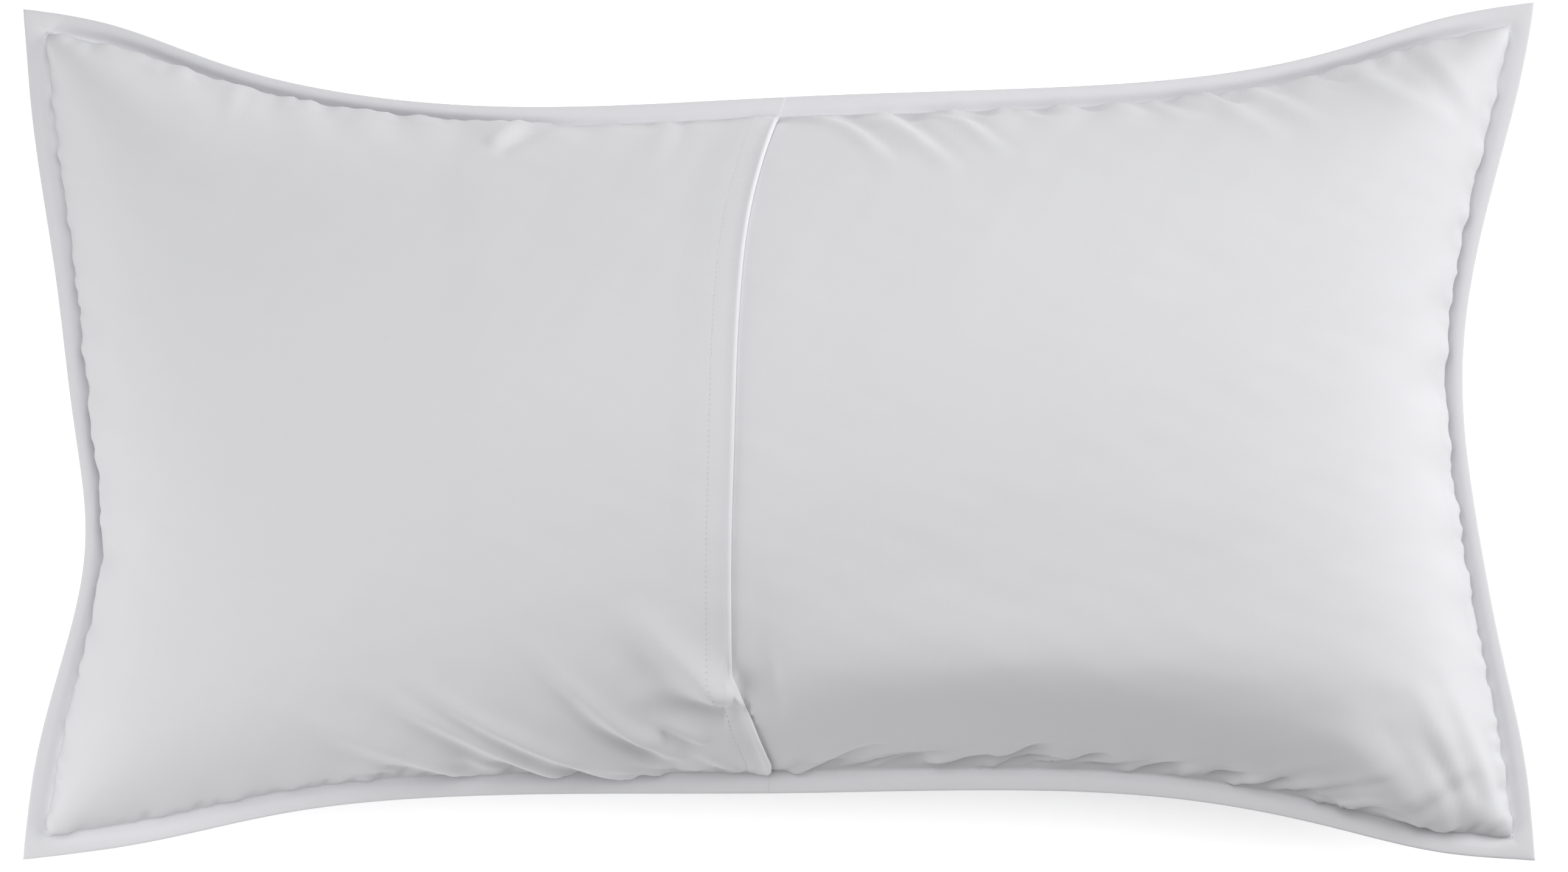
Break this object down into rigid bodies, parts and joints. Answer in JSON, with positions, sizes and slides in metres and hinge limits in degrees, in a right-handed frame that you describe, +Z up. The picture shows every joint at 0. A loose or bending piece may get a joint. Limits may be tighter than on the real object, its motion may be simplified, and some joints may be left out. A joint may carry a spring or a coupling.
{
  "type": "bed pillow",
  "caption": "King-size bed pillow in a flanged cotton sham, lying on its front with the overlapping envelope closure of its back upwards.",
  "frame": {"origin": "centre of the overall box, on the plane that the pillow rests on", "axes": "+X along the pillow's length, +Y towards its top edge, +Z up, out of the back with the envelope closure"},
  "size_m": [0.896, 0.508, 0.1967],
  "materials": {
    "sham_cotton": "matte",
    "sewing_thread": "satin",
    "insert_ticking": "matte",
    "fibre_fill": "matte",
    "label_tape": "satin"
  },
  "bodies": {
    "pillow": {"sham_front_panel": "sham_cotton", "back_panel_left": "sham_cotton", "back_panel_right": "sham_cotton", "edge_seam_allowance": "sham_cotton", "edge_seam_thread": "sewing_thread", "under_hem_stitching": "sewing_thread", "flange_stitching_back": "sewing_thread", "flange_stitching_front": "sewing_thread", "insert_ticking_top": "insert_ticking", "insert_ticking_bottom": "insert_ticking", "insert_piping": "insert_ticking", "insert_fibre_fill": "fibre_fill", "insert_closing_stitching": "sewing_thread", "care_label": "label_tape", "insert_label": "label_tape"},
    "outer_flap": {"overlap_flap": "sham_cotton", "overlap_hem_stitching": "sewing_thread"}
  },
  "joints": [
    {"name": "flap_lift", "type": "hinge", "parent": "pillow", "child": "outer_flap", "pos_m": [-0.132, 0, 0.194], "axis": [0, -1, 0], "range_deg": [0, 32]}
  ]
}
